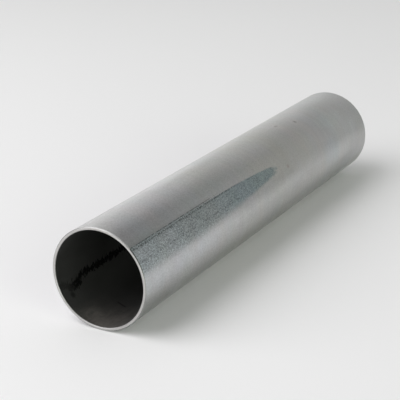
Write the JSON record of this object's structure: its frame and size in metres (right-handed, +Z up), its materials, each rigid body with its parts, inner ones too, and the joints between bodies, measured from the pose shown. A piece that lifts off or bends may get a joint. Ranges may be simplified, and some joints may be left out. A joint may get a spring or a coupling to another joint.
{
  "type": "steel tube",
  "caption": "Thin-walled round welded steel tube, cut square to a short length and lying on its side, with deburred ends and a low weld bead along its open bore.",
  "frame": {"origin": "on the floor, under the middle of the tube", "axes": "+Y along the tube's axis from the front end to the back end, +Z up"},
  "size_m": [0.05, 0.263, 0.05],
  "materials": {
    "steel": "satin mill finish outside, bright sawn ends, dark scale inside"
  },
  "bodies": {
    "root": {"tube": "steel"}
  },
  "joints": []
}
